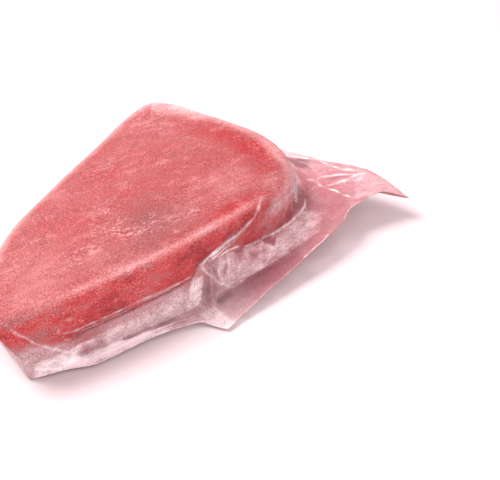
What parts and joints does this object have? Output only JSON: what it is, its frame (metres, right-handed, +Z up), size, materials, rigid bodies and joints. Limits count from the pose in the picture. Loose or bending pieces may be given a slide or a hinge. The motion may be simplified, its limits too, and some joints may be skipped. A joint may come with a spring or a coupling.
{
  "type": "vacuum-packed tuna steak",
  "caption": "Raw tuna steak sealed in a clear vacuum pouch: a thick rounded wedge of pink-red fish with the pouch's crinkled skirt and loose corner flap around it.",
  "frame": {"origin": "centre of the pack's bounding box, on the plane that its flat underside rests on", "axes": "+X along the steak's long straight front side towards the pouch's loose corner flap, +Y towards the steak's narrow back end, +Z up out of its broad top face"},
  "size_m": [0.1688, 0.1212, 0.0269],
  "materials": {
    "flesh": "satin",
    "film": "gloss"
  },
  "bodies": {
    "root": {"steak_pack": "flesh"}
  },
  "joints": []
}
